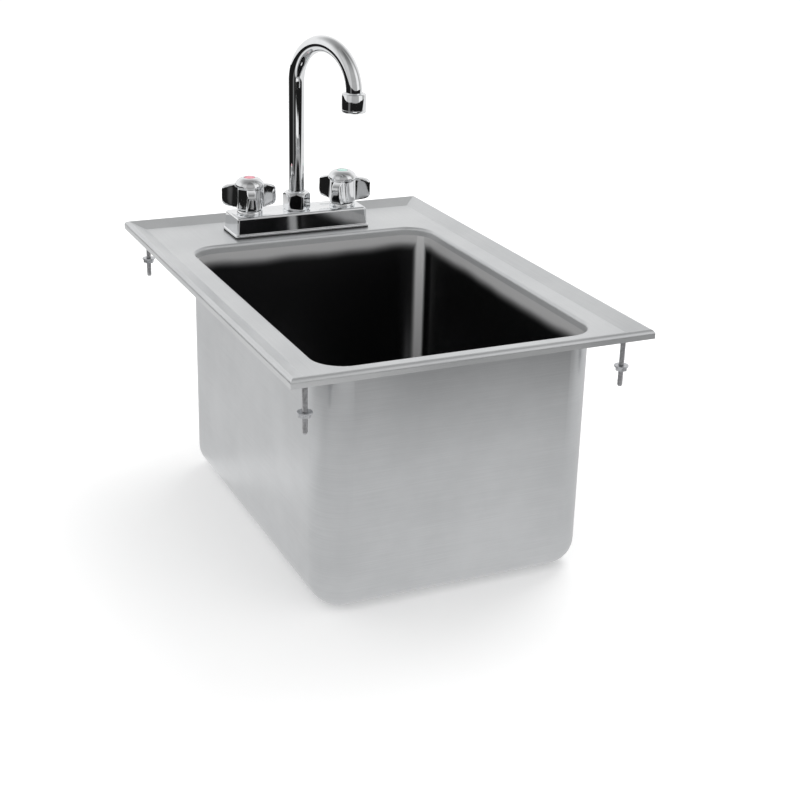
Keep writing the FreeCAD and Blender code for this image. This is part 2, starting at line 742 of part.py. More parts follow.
def make_valve(side):
    """Everything inside one valve barrel, from its seal up to the nut that holds the cartridge down."""
    where = valve_place(side)
    seal = new_body("seat_seal_" + side, **where)
    revolve(seal, "seal_section", step_outline(
        "seal_bore_radius", [("cartridge_radius", CARTRIDGE_FOOT)], "barrel_bore_floor"))

    cartridge = new_body("cartridge_" + side, **where)
    revolve(cartridge, "cartridge_section", step_outline("0", [
        ("cartridge_waist_radius", "cartridge_waist_top"), ("cartridge_radius", BARREL_TOP),
        ("cartridge_flange_radius", f"{BARREL_TOP} + cartridge_flange_height"),
        ("cartridge_nose_radius", CARTRIDGE_TOP)], CARTRIDGE_FOOT))
    groove(cartridge, "cartridge_bores", step_outline(
        "0", [("cartridge_cavity_radius", CAVITY_TOP), ("stem_radius + running_fit", CARTRIDGE_TOP)],
        CARTRIDGE_FOOT))
    ports = new_sketch(cartridge, "cartridge_ports", "YZ_Plane")
    draw_circle(ports, "port_radius", "0", "port_height")
    pocket(cartridge, ports)

    for name, foot, turned in (("fixed_disc_", CARTRIDGE_FOOT, False),
                               ("turning_disc_", f"{CARTRIDGE_FOOT} + disc_thickness", True)):
        disc = new_body(name + side, **where)
        blank = new_sketch(disc, name + "blank", height=foot)
        draw_circle(blank, "cartridge_cavity_radius - running_fit")
        for sign in ("-", ""):
            offset = f"{sign}disc_port_offset"
            draw_circle(blank, "disc_port_radius", *((offset, "0") if turned else ("0", offset)))
        pad(disc, blank, "disc_thickness")

    stem = new_body("stem_" + side, **where)
    revolve(stem, "stem_section", step_outline("0", [
        ("cartridge_cavity_radius - running_fit", f"{STEM_FOOT} + stem_driver_height"),
        ("stem_radius", STEM_TOP)], STEM_FOOT))
    groove(stem, "screw_thread_hole", [
        ("0", f"{STEM_TOP} - screw_depth"), ("screw_radius + running_fit", f"{STEM_TOP} - screw_depth"),
        ("screw_radius + running_fit", STEM_TOP), ("0", STEM_TOP)])

    bonnet = new_body("bonnet_nut_" + side, **where)
    flange_top = f"{BARREL_TOP} + cartridge_flange_height"
    revolve(bonnet, "bonnet_section", step_outline("cartridge_nose_radius + slide_gap", [
        ("bonnet_radius", f"{COVER_TOP} + bonnet_flange_height"),
        ("bonnet_body_radius", f"{flange_top} + bonnet_lip")], COVER_TOP))
    groove(bonnet, "bonnet_thread", [
        ("0", COVER_TOP), ("barrel_neck_radius + slide_gap", COVER_TOP),
        ("barrel_neck_radius + slide_gap", flange_top), ("0", flange_top)])
    dress(bonnet, "Fillet", "bonnet_flange_height / 3",
          lambda edge: at_height(edge, size(f"{COVER_TOP} + bonnet_flange_height"))
          and edge.BoundBox.XLength > 2 * size("bonnet_body_radius") + 1)


def make_handle(side):
    """Domed hub with three wings, the screw that holds it and the coloured index button."""
    where = valve_place(side, side + "_handle_turn")
    where["z"] = f"deck_height + {COVER_TOP}"
    body = new_body("handle_" + side, **where)
    revolve(body, "handle_hub", [
        ("0", "handle_bottom"), ("handle_skirt_radius", "handle_bottom"),
        ("handle_shoulder_radius", "handle_shoulder_height"), ("handle_crown_radius", "handle_crown_height"),
        ("handle_face_radius", "handle_top"), ("0", "handle_top")])
    wing = new_sketch(body, "wing", "XZ_Plane")
    draw_outline(wing, [
        ("0", "wing_bottom"), ("wing_reach", "wing_tip_bottom"),
        ("wing_reach", "wing_tip_top"), ("0", "wing_root_top")])
    wing_pad = pad(body, wing, "wing_thickness", midplane=True)
    wings = body.newObject("PartDesign::PolarPattern", "wings")
    wings.Originals = [wing_pad]
    wings.Axis = (new_sketch_axis(body), ["N_Axis"])
    wings.Angle = 360
    wings.Occurrences = 3
    body.Tip = wings
    doc.recompute()
    tip = size("wing_reach")
    dress(body, "Fillet", "wing_rounding", lambda edge: is_upright(edge)
          and math.hypot(edge.CenterOfMass.x, edge.CenterOfMass.y) > tip - 1)
    groove(body, "handle_bores", [
        ("0", "handle_bottom"), ("handle_skirt_bore_radius", "handle_bottom"),
        ("handle_skirt_bore_radius", "handle_skirt_bore_top"), ("stem_radius + running_fit", "handle_skirt_bore_top"),
        ("stem_radius + running_fit", "stem_reach + slide_gap"), ("0", "stem_reach + slide_gap")])
    web_top = "(stem_reach + handle_web)"
    groove(body, "button_seat", [
        ("0", "stem_reach"), ("screw_radius + slide_gap", "stem_reach"), ("screw_radius + slide_gap", web_top),
        ("screw_head_radius + slide_gap", web_top), ("screw_head_radius + slide_gap", "button_seat_height"),
        ("button_radius + slide_gap", "button_seat_height"), ("button_radius + slide_gap", "handle_top"),
        ("0", "handle_top")])

    screw = new_body("handle_screw_" + side, **where)
    revolve(screw, "screw_section", step_outline("0", [
        ("screw_radius", web_top), ("screw_head_radius", f"{web_top} + screw_head_height")],
        "stem_reach - screw_depth + 1"))
    slot = new_sketch(screw, "screw_slot", height=f"{web_top} + screw_head_height")
    draw_rectangle(slot, "2 * screw_head_radius + 1", "screw_slot_width")
    pocket(screw, slot, "screw_head_height / 2")

    button = new_body("index_button_" + side, **where)
    revolve(button, "button_section", [
        ("0", "button_seat_height"), ("button_radius", "button_seat_height"), ("button_radius", "handle_top"),
        ("button_radius * 0.6", "handle_top + button_crown * 0.75"), ("0", "handle_top + button_crown")])


def new_sketch_axis(body):
    """An empty sketch whose normal is the body's vertical axis."""
    return new_sketch(body, body.Label + "_axis")


def make_spout():
    """Swivelling gooseneck: brass sleeve with O-rings, bent tube, and the nut and slip ring that hold it."""
    turned = dict(FAUCET_PLACE, turn="spout_turn")
    tube = new_body("spout_tube", **turned)
    path = new_sketch(tube, "tube_path", "YZ_Plane")
    foot = FreeCAD.Vector(0, size(FLANGE_TOP), 0)
    bend = FreeCAD.Vector(0, size("arch_height"), 0)
    radius = size("arch_radius")
    end = FreeCAD.Vector(-2 * radius, size("arch_height"), 0)
    tip = FreeCAD.Vector(-2 * radius, size(TUBE_END), 0)
    centre = FreeCAD.Vector(-radius, size("arch_height"), 0)
    rise = path.addGeometry(Part.LineSegment(foot, bend))
    arch = path.addGeometry(Part.ArcOfCircle(Part.Circle(centre, FreeCAD.Vector(0, 0, 1), radius), 0, math.pi))
    drop = path.addGeometry(Part.LineSegment(end, tip))
    path.addConstraint(Sketcher.Constraint("Tangent", rise, 2, arch, 1))
    path.addConstraint(Sketcher.Constraint("Tangent", arch, 2, drop, 1))
    path.addConstraint(Sketcher.Constraint("Vertical", rise))
    constrain(path, "DistanceX", -1, 1, rise, 1, "0")
    constrain(path, "DistanceY", -1, 1, rise, 1, FLANGE_TOP)
    constrain(path, "DistanceY", -1, 1, rise, 2, "arch_height")
    constrain(path, "Radius", arch, "arch_radius")
    constrain(path, "DistanceY", -1, 1, arch, 2, "arch_height")
    constrain(path, "DistanceY", -1, 1, drop, 2, TUBE_END)
    section = new_sketch(tube, "tube_section", height=FLANGE_TOP)
    draw_circle(section, "tube_radius")
    draw_circle(section, "tube_radius - tube_wall")
    sweep = tube.newObject("PartDesign::AdditivePipe", "bent_tube")
    sweep.Profile = section
    sweep.Spine = (path, ["Edge1", "Edge2", "Edge3"])
    doc.recompute()

    sleeve = new_body("spout_sleeve", **turned)
    running = "post_bore_radius - running_fit"
    revolve(sleeve, "sleeve_section", step_outline("sleeve_bore_radius", [
        (running, POST_TOP), ("sleeve_flange_radius", FLANGE_TOP),
        ("tube_radius - tube_wall - running_fit", f"{FLANGE_TOP} + sleeve_spigot_height")],
        "post_bore_floor + sleeve_foot"))
    ring_centre = "(post_bore_radius - running_fit / 2 - oring_section_radius)"
    groove_floor = f"({ring_centre} - oring_section_radius - running_fit)"
    for number in (0, 1):
        middle = f"(oring_first_height + {number} * oring_spacing)"
        low = f"{middle} - oring_section_radius * 1.3"
        high = f"{middle} + oring_section_radius * 1.3"
        groove(sleeve, f"oring_groove_{number}", [
            (groove_floor, low), ("post_bore_radius + 1", low), ("post_bore_radius + 1", high),
            (groove_floor, high)])
    rings = []
    for number in (0, 1):
        ring = doc.addObject("Part::Torus", f"oring_{number}")
        ring.setExpression("Radius1", bound(ring_centre))
        ring.setExpression("Radius2", bound("oring_section_radius"))
        place(ring, z=f"oring_first_height + {number} * oring_spacing")
        rings.append(ring)
    group = doc.addObject("Part::Compound", "spout_orings")
    group.Label = "spout_orings"
    group.Links = rings
    place(group, **turned)
    parts.append(group)

    slip = new_body("slip_ring", **FAUCET_PLACE)
    revolve(slip, "slip_section", step_outline(
        "tube_radius + free_gap", [("post_neck_radius", SLIP_TOP)], FLANGE_TOP))
    nut = make_nut("spout_nut", "spout_nut_flats", "spout_nut_height", "tube_radius + free_gap",
                   "spout_nut_chamfer", y=FAUCET_LINE, z=f"deck_height + {COVER_TOP}")
    inner_top = f"{SLIP_TOP} - {COVER_TOP}"
    groove(nut, "spout_nut_thread", [
        ("0", "0"), ("post_neck_radius + slide_gap", "0"), ("post_neck_radius + slide_gap", inner_top),
        ("0", inner_top)])


def make_aerator():
    """Threaded ring on the tube's end, and the housing that holds a perforated screen against a washer."""
    turn = {"x": "2 * arch_radius * sin(spout_turn * 1 deg)",
            "y": f"{FAUCET_LINE} - 2 * arch_radius * cos(spout_turn * 1 deg)", "z": "deck_height"}
    housing_top = "(tip_height + aerator_height)"
    cavity_top = "(tip_height + aerator_height - aerator_cap)"
    cavity_floor = "(tip_height + aerator_lip_height)"
    cavity = "thread_ring_radius + slide_gap"
    ring = new_body("spout_tip", **turn)
    revolve(ring, "tip_section", step_outline(
        "tube_radius + running_fit", [("thread_ring_radius", f"{cavity_top} - slide_gap")], TUBE_END))
    housing = new_body("aerator_housing", **turn)
    revolve(housing, "housing_section", step_outline("aerator_lip_radius", [
        ("aerator_radius", housing_top)], "tip_height"))
    groove(housing, "housing_bores", step_outline(
        "0", [(cavity, cavity_top), ("tube_radius + slide_gap", housing_top)], cavity_floor))
    cap = new_body("aerator_screen", **turn)
    plate = new_sketch(cap, "screen_plate", height=cavity_floor)
    draw_circle(plate, "thread_ring_radius")
    for ring_radius, count in ((0, 1), (3.2, 6), (6.4, 12)):
        for number in range(count):
            angle = 2 * math.pi * number / count
            x = ring_radius * math.cos(angle)
            y = ring_radius * math.sin(angle)
            draw_circle(plate, "screen_hole_radius", f"{x:.4f}", f"{y:.4f}")
    pad(cap, plate, "screen_thickness")
    washer = new_body("aerator_washer", **turn)
    revolve(washer, "washer_section", step_outline(
        "aerator_washer_bore_radius", [("thread_ring_radius", TUBE_END)], f"{TUBE_END} - aerator_washer_thickness"))


make_rim_deck()
make_bowl()
make_studs()
make_stud_fasteners()
make_gasket()
make_cover()
make_waterway()
make_shank_fasteners()
for valve_side in ("hot", "cold"):
    make_valve(valve_side)
    make_handle(valve_side)
make_spout()
make_aerator()

doc.recompute()
for item in doc.Objects:
    if "Invalid" in item.State or "Error" in item.State:
        raise RuntimeError(f"{item.Label} failed: {item.State}")
for part in parts:
    if part.Shape.isNull() or not part.Shape.isValid():
        raise RuntimeError(f"{part.Label} has no valid shape")

os.makedirs("parts", exist_ok=True)
for part in parts:
    part.Shape.exportStep(f"parts/{part.Label}.step")
    print(f"{part.Label}: {len(part.Shape.Solids)} solid(s), {part.Shape.Volume:.0f} mm3")
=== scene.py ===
import json
import math

import bmesh
import bpy
from mathutils import Matrix, Vector


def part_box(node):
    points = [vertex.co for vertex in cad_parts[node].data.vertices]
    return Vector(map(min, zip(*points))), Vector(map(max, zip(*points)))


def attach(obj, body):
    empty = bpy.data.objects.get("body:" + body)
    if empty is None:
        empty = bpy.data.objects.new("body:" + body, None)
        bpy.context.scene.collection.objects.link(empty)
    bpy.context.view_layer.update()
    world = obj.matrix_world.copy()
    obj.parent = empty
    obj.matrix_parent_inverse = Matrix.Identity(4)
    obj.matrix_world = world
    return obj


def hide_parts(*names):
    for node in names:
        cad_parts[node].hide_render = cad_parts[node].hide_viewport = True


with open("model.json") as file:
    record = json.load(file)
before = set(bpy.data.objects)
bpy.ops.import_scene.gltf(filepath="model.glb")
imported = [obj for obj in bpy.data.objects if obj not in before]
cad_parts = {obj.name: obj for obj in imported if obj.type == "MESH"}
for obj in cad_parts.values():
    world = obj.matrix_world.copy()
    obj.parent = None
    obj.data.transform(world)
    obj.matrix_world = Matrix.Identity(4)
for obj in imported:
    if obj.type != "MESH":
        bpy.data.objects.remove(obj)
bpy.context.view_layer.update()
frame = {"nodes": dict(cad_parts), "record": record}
nodes = frame["nodes"]
mm = 0.001
print("frame loaded:", len(nodes), "CAD nodes")


# a shader socket that can be used in Python expressions
class Wire:
    def __init__(self, tree, socket):
        self.tree = tree
        self.socket = socket

    def out(self, name):
        return Wire(self.tree, self.socket.node.outputs[name])

    def maths(self, operation, *values):
        return addNode(self.tree, "ShaderNodeMath", {"operation": operation}, dict(enumerate(values)))

    def __add__(self, other):
        return self.maths("ADD", self, other)

    def __radd__(self, other):
        return self.maths("ADD", other, self)

    def __sub__(self, other):
        return self.maths("SUBTRACT", self, other)

    def __rsub__(self, other):
        return self.maths("SUBTRACT", other, self)

    def __mul__(self, other):
        return self.maths("MULTIPLY", self, other)

    def __rmul__(self, other):
        return self.maths("MULTIPLY", other, self)

    def __pow__(self, other):
        return self.maths("POWER", self, other)

    def size(self):
        return self.maths("ABSOLUTE", self)

    def atLeast(self, low):
        return self.maths("MAXIMUM", self, low)

    def under(self, limit):
        return self.maths("LESS_THAN", self, limit)

    def angleFrom(self, other):
        return self.maths("ARCTAN2", self, other)

    def clamped(self, low, high):
        sockets = {"Value": self, "From Min": low, "From Max": high}
        return addNode(self.tree, "ShaderNodeMapRange", {"interpolation_type": "SMOOTHSTEP"}, sockets)

    def between(self, rise, fall):
        # 1 from the end of the rise to the start of the fall
        return self.clamped(*rise) - self.clamped(*fall)


def setSocket(tree, socket, value):
    if isinstance(value, Wire):
        tree.links.new(value.socket, socket)
    elif isinstance(value, tuple) and socket.type == "RGBA":
        socket.default_value = (*value, 1)
    else:
        socket.default_value = value


def addNode(tree, kind, settings, sockets):
    node = tree.nodes.new(kind)
    for key, value in settings.items():
        setattr(node, key, value)
    for key, value in sockets.items():
        setSocket(tree, node.inputs[key], value)
    return Wire(tree, node.outputs[0])


class Finish:
    def __init__(self, name, **constants):
        self.material = bpy.data.materials.new(name)
        self.material.use_nodes = True
        self.tree = self.material.node_tree
        self.shader = self.tree.nodes["Principled BSDF"]
        self.place = self.node("ShaderNodeTexCoord").out("Object")
        for socketName, value in constants.items():
            self.feed(socketName.replace("_", " "), value)

    def node(self, kind, **sockets):
        return addNode(self.tree, kind, {}, sockets)

    def feed(self, socketName, value):
        setSocket(self.tree, self.shader.inputs[socketName], value)

    def axis(self, letter):
        return self.node("ShaderNodeSeparateXYZ", Vector=self.place).out(letter)

    def noise(self, scale, size, detail, rough):
        stretched = self.node("ShaderNodeMapping", Vector=self.place, Scale=scale)
        return self.node("ShaderNodeTexNoise", Vector=stretched, Scale=size, Detail=detail, Roughness=rough)

    def mix(self, factor, first, second):
        # a Mix node's sockets 0, 6 and 7 are its factor and two colours, and output 2 is the colour
        sockets = {0: factor, 6: first, 7: second}
        return addNode(self.tree, "ShaderNodeMix", {"data_type": "RGBA"}, sockets).out(2)

    def bump(self, height, distance, strength):
        bumped = self.node("ShaderNodeBump", Height=height, Distance=distance, Strength=strength)
        self.feed("Normal", bumped)


def middle(nodeName):
    low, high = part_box(nodeName)
    return (low + high) / 2


# brushed stainless sheet: deck and bowl
steelSettings = {
    "deckColour": (0.70, 0.71, 0.715),
    "deckShade": (0.60, 0.61, 0.62),
    "deckMetallic": 0.82,
    "deckLipSheen": 0.5,  # less metallic by this where the sheet turns down into the opening, so it reads lighter: painted sheen
    "deckLipDepths": (0.0022, 0.0004),  # below the deck's top
    "bowlColour": (0.64, 0.65, 0.66),
    "bowlShade": (0.54, 0.55, 0.56),
    # painted shade: the near black colour of the bowl's inside walls below the sheen band
    "paintedShadeColour": (0.10, 0.10, 0.105),
    # painted sheen: the near white colour of the band under the opening and of the corner streaks
    "paintedSheenColour": (0.93, 0.93, 0.93),
    "paintedSheen": 0.8,  # less metallic by this on the painted sheen band and the painted highlight streaks
    "sheenHeights": (0.206, 0.220),  # the painted dark walls end and the painted sheen band begins
    "sheenStrength": 0.9,
    "sheenWander": 0.012,
    "highlightRise": (0.55, 0.8),  # radians round a corner: start of the painted highlight streak
    "highlightFall": (1.05, 1.25),
    "cornerRadius": 0.0282,
    "coveRadius": 0.025,
    "halfSheet": 0.0006,
    "roughness": 0.24,
    "lineRoughness": 0.10,
    "cloudRoughness": 0.04,
    "lineShare": 0.45,  # of the lines in the colour, the clouds give the rest
    "grainAcross": 2600,
    "grainAlong": 18,
    "grainDepth": 0.00002,
    "cloudSize": 14.0,
    "contrast": (0.3, 0.7),
}
noStretch = (1, 1, 1)


def brushed(finish, grain, shade, colour):
    # sets roughness and bump, and gives the colour
    lines = finish.noise(grain, 1.0, 3.0, 0.6)
    clouds = finish.noise(noStretch, steelSettings["cloudSize"], 4.0, 0.55)
    roughness = steelSettings["roughness"] + lines * steelSettings["lineRoughness"]
    finish.feed("Roughness", roughness + clouds * steelSettings["cloudRoughness"])
    finish.bump(lines, steelSettings["grainDepth"], 0.35)
    share = steelSettings["lineShare"]
    mask = (lines * share + clouds * (1 - share)).clamped(*steelSettings["contrast"])
    return finish.mix(mask, shade, colour)


def makeDeckSteel():
    across = steelSettings["grainAcross"]
    finish = Finish("deckSteel")
    finish.feed("Base Color", brushed(finish, (across, steelSettings["grainAlong"], across),
                                      steelSettings["deckShade"], steelSettings["deckColour"]))
    # painted sheen: less metallic, so lighter, where the sheet turns down into the opening
    low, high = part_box("bowl")
    centre = middle("bowl")
    edge = 0.002
    overX = (finish.axis("X") - centre.x).size().under((high.x - low.x) / 2 + edge)
    overY = (finish.axis("Y") - centre.y).size().under((high.y - low.y) / 2 + edge)
    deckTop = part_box("deck_gasket")[0].z
    deep, shallow = steelSettings["deckLipDepths"]
    sheenBand = overX * overY * (1 - finish.axis("Z").clamped(deckTop - deep, deckTop - shallow))
    finish.feed("Metallic", steelSettings["deckMetallic"] - sheenBand * steelSettings["deckLipSheen"])
    return finish.material


def makeBowlSteel():
    along = steelSettings["grainAlong"]
    finish = Finish("bowlSteel")
    low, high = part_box("bowl")
    centre = middle("bowl")
    corner = steelSettings["cornerRadius"]
    cove = steelSettings["coveRadius"]
    x = finish.axis("X") - centre.x
    y = finish.axis("Y") - centre.y
    z = finish.axis("Z")
    # distance out from the corners' upright axes and from the cove round the floor
    pastX = (x.size() - ((high.x - low.x) / 2 - corner)).atLeast(0.0)
    pastY = (y.size() - ((high.y - low.y) / 2 - corner)).atLeast(0.0)
    spread = (pastX * pastX + pastY * pastY) ** 0.5
    outward = (spread - (corner - cove)).atLeast(0.0)
    down = (cove - z).atLeast(0.0)
    inside = ((outward * outward + down * down) ** 0.5).under(cove - steelSettings["halfSheet"])
    # painted sheen: a light, less metallic band under the opening; painted shade: the walls below it are
    # painted near black
    wander = finish.noise((9, 9, 1), 1.0, 2.0, 0.5) * steelSettings["sheenWander"]
    sheenBand = (z + wander).clamped(*steelSettings["sheenHeights"]) * steelSettings["sheenStrength"]
    # painted highlights: upright light streaks in the rounded corners
    tiny = 0.0001
    turn = pastX.angleFrom(pastY + tiny)
    inCorner = 1 - (pastX * pastY).under(tiny * tiny)
    paintedHighlight = turn.between(steelSettings["highlightRise"], steelSettings["highlightFall"]) * inCorner
    paintedSheen = inside * sheenBand.atLeast(paintedHighlight)
    # painted shade: the inside walls outside the painted sheen get the near black colour
    dark = inside * (1 - paintedSheen)
    steel = brushed(finish, (along, along, steelSettings["grainAcross"]),
                    steelSettings["bowlShade"], steelSettings["bowlColour"])
    steel = finish.mix(paintedSheen, steel, steelSettings["paintedSheenColour"])
    finish.feed("Base Color", finish.mix(dark, steel, steelSettings["paintedShadeColour"]))
    finish.feed("Metallic", 1 - paintedSheen * steelSettings["paintedSheen"])
    return finish.material


# bright plating, slightly wavy and smeared
chromeSettings = {
    "colour": (0.90, 0.91, 0.92),
    "haze": (0.86, 0.87, 0.88),
    "waveDepth": 0.00012,
    "smearSize": 260.0,
    "hazeRange": (0.35, 0.7),
    "dullRange": (0.5, 0.8),
    "dullRoughness": 0.03,
    # name, size of the waves and roughness
    "chrome_cover": ("coverChrome", 30.0, 0.035),
    "chrome_fittings": ("fittingChrome", 60.0, 0.035),
    "chrome_tube": ("tubeChrome", 25.0, 0.025),
    "chrome_handles": ("handleChrome", 70.0, 0.05),
}


def makeChrome(slotName):
    name, waveSize, roughness = chromeSettings[slotName]
    finish = Finish(name, Metallic=1.0)
    waves = finish.noise(noStretch, waveSize, 2.0, 0.4)
    smears = finish.noise(noStretch, chromeSettings["smearSize"], 4.0, 0.6)
    clear = smears.clamped(*chromeSettings["hazeRange"])
    finish.feed("Base Color", finish.mix(clear, chromeSettings["haze"], chromeSettings["colour"]))
    dull = smears.clamped(*chromeSettings["dullRange"])
    finish.feed("Roughness", roughness + dull * chromeSettings["dullRoughness"])
    finish.bump(waves, chromeSettings["waveDepth"], 0.25)
    return finish.material


# stained brass
brassSettings = {
    "dark": (0.55, 0.40, 0.18),
    "light": (0.80, 0.63, 0.32),
    "stainSize": 60.0,
    "stainRange": (0.3, 0.7),
    "grainRoughness": 0.16,
    # name, roughness, size and depth of the grain
    "cast_brass": ("castBrass", 0.42, 900.0, 0.0004),
    "plain_brass": ("machinedBrass", 0.22, 300.0, 0.00005),
}


def makeBrass(slotName):
    name, roughness, grainSize, depth = brassSettings[slotName]
    finish = Finish(name, Metallic=1.0)
    grains = finish.noise(noStretch, grainSize, 4.0, 0.6)
    stains = finish.noise(noStretch, brassSettings["stainSize"], 3.0, 0.5)
    clean = stains.clamped(*brassSettings["stainRange"])
    finish.feed("Base Color", finish.mix(clean, brassSettings["dark"], brassSettings["light"]))
    finish.feed("Roughness", roughness + grains * brassSettings["grainRoughness"])
    finish.bump(grains, depth, 0.35)
    return finish.material


# finishes with one fine grain: name, metallic, dark and light colour, contrast, roughness and how much the
# grain adds to it, and the grain's size, detail and depth
grainSettings = {
    "stud_steel": ("studSteel", 1, (0.42, 0.42, 0.43), (0.62, 0.62, 0.63), (0.3, 0.7), 0.26, 0.18,
                   500.0, 4.0, 0.00008),
    "zinc_steel": ("zincPlate", 1, (0.50, 0.51, 0.53), (0.72, 0.73, 0.75), (0.3, 0.7), 0.24, 0.16,
                   700.0, 3.0, 0.00005),
    "black_rubber": ("blackRubber", 0, (0.018, 0.018, 0.019), (0.045, 0.045, 0.047), (0.25, 0.75),
                     0.56, 0.14, 900.0, 4.0, 0.0001),
    "white_ceramic": ("whiteCeramic", 0, (0.78, 0.77, 0.73), (0.88, 0.87, 0.84), (0.25, 0.75), 0.12, 0.14,
                      400.0, 4.0, 0.00001),
    "white_acetal": ("whiteAcetal", 0, (0.76, 0.76, 0.74), (0.86, 0.86, 0.84), (0.25, 0.75), 0.39, 0.14,
                     500.0, 4.0, 0.00002),
    "grey_plastic": ("greyPlastic", 0, (0.36, 0.37, 0.38), (0.47, 0.48, 0.49), (0.25, 0.75), 0.36, 0.14,
                     600.0, 4.0, 0.00003),
    "red_plastic": ("hotRed", 0, (0.74, 0.20, 0.27), (0.88, 0.40, 0.46), (0.25, 0.75), 0.16, 0.14,
                    300.0, 4.0, 0.00002),
    "blue_plastic": ("coldGreen", 0, (0.42, 0.68, 0.61), (0.56, 0.79, 0.72), (0.25, 0.75), 0.16, 0.14,
                     300.0, 4.0, 0.00002),
}


def makeGrained(slotName):
    name, metallic, dark, light, contrast, roughness, spread, size, detail, depth = grainSettings[slotName]
    finish = Finish(name, Metallic=metallic)
    grains = finish.noise(noStretch, size, detail, 0.6)
    finish.feed("Base Color", finish.mix(grains.clamped(*contrast), dark, light))
    finish.feed("Roughness", roughness + grains * spread)
    finish.bump(grains, depth, 0.4)
    return finish.material


finishes = {"deck_sheet": makeDeckSteel(), "bowl_sheet": makeBowlSteel()}
for slotName in ("chrome_cover", "chrome_fittings", "chrome_tube", "chrome_handles"):
    finishes[slotName] = makeChrome(slotName)
for slotName in ("cast_brass", "plain_brass"):
    finishes[slotName] = makeBrass(slotName)
for slotName in grainSettings:
    finishes[slotName] = makeGrained(slotName)
nodeSlots = {entry["node"]: entry["material_slot"] for entry in frame["record"]["subparts"]}
for nodeName, node in nodes.items():
    for materialSlot in node.material_slots:
        materialSlot.material = finishes[nodeSlots[nodeName]]
print("finishes made:", len(finishes))


def keep(bm, name, nodeName, body, sharp):
    # closes seams, turns faces outward, keeps edges sharper than this many degrees, and replaces the node
    bmesh.ops.remove_doubles(bm, verts=bm.verts, dist=0.000002)
    bmesh.ops.recalc_face_normals(bm, faces=bm.faces)
    mesh = bpy.data.meshes.new(name)
    bm.to_mesh(mesh)
    bm.free()
    mesh.shade_smooth()
    mesh.set_sharp_from_angle(angle=math.radians(sharp))
    piece = bpy.data.objects.new(name, mesh)
    bpy.context.scene.collection.objects.link(piece)
    slotName = nodeSlots[nodeName]
    mesh.materials.append(finishes[slotName])
    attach(piece, body)
    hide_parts(nodeName)
    return piece


def giveWall(piece, thickness):
    # inwards from the outer surface
    wall = piece.modifiers.new("wall", "SOLIDIFY")
    wall.thickness = thickness * mm
    wall.offset = -1


def lathe(bm, profile, segments):
    # profile is (radius, height) pairs in mm, turned about the vertical line through the origin
    turned = [bm.verts.new((radius * mm, 0, height * mm)) for radius, height in profile]
    edges = [bm.edges.new(pair) for pair in zip(turned, turned[1:])]
    bmesh.ops.spin(bm, geom=turned + edges, cent=(0, 0, 0), axis=(0, 0, 1), angle=math.tau,
                   steps=segments, use_merge=True, use_duplicate=False)
    return bm


def moved(bm, place, turn=0.0):
    # turn in degrees, about the vertical line through the origin
    bmesh.ops.rotate(bm, verts=bm.verts, cent=(0, 0, 0), matrix=Matrix.Rotation(math.radians(turn), 3, "Z"))
    bmesh.ops.translate(bm, verts=bm.verts, vec=place)


def pickOut(geometry, kind):
    return [item for item in geometry if isinstance(item, kind)]


def stacked(levels, radiusAt, angles):
    # rings of one point per angle, one above the other, joined by faces; a level begins with its height
    bm = bmesh.new()
    corners = bmesh.ops.create_circle(bm, segments=len(angles), radius=1.0)["verts"]
    edges = list(bm.edges)
    for number, level in enumerate(levels):
        if number:
            made = bmesh.ops.extrude_edge_only(bm, edges=edges)["geom"]
            edges = [edge for edge in pickOut(made, bmesh.types.BMEdge) if len(edge.link_faces) == 1]
            corners = pickOut(made, bmesh.types.BMVert)
        ring = sorted(corners, key=lambda corner: math.atan2(corner.co.y, corner.co.x))
        for corner, angle in zip(ring, angles):
            radius = radiusAt(level, angle)
            corner.co = (radius * math.cos(angle) * mm, radius * math.sin(angle) * mm, level[0] * mm)
    return bm


def evenAngles(radiusAt, level, count):
    # angles that space the points evenly along one ring's outline
    parts = 3600
    fine = [-math.pi + math.tau * number / parts for number in range(parts + 1)]
    points = [Vector((radiusAt(level, a) * math.cos(a), radiusAt(level, a) * math.sin(a))) for a in fine]
    lengths = [0.0]
    for first, second in zip(points, points[1:]):
        lengths.append(lengths[-1] + (second - first).length)
    angles = []
    position = 0
    for number in range(count):
        wanted = lengths[-1] * (number + 0.5) / count
        while lengths[position + 1] < wanted:
            position += 1
        angles.append(fine[position])
    return angles


# threaded studs under the rim corners, sizes in mm
studSettings = {
    "pitch": 25.4 / 24,
    "threadOutline": [(1.98, 0.0), (1.98, 0.15), (2.4, 0.5), (2.4, 0.62), (1.98, 1.0)],  # part of the pitch
    "threadEnds": (0.5, -3.2),  # above the stud's end and below the deck
    "stepsPerTurn": 16,
    "coreSegments": 32,
    # chamfered end, and the weld at the deck, measured down from it
    "lowerEnd": [(0, 0.0), (1.48, 0.0), (2.0, 0.6)],
    "upperEnd": [(2.0, -3.0), (2.4, -2.6), (2.4, -1.8), (3.0, -1.2), (4.1, -0.5), (4.2, 0.0), (0, 0.0)],
    "weldRadius": 4.2,
}


def cutThread(bm, low, high):
    # one pitch of the thread's outline, screwed upwards
    pitch = studSettings["pitch"]
    steps = studSettings["stepsPerTurn"]
    turns = int((high - low) / pitch)
    outline = studSettings["threadOutline"]
    start = [bm.verts.new((radius * mm, 0, (low + part * pitch) * mm)) for radius, part in outline]
    edges = [bm.edges.new(pair) for pair in zip(start, start[1:])]
    bmesh.ops.spin(bm, geom=start + edges, cent=(0, 0, 0), axis=(0, 0, 1), dvec=(0, 0, pitch * mm / steps),
                   angle=math.tau * turns, steps=steps * turns, use_merge=False, use_duplicate=False)


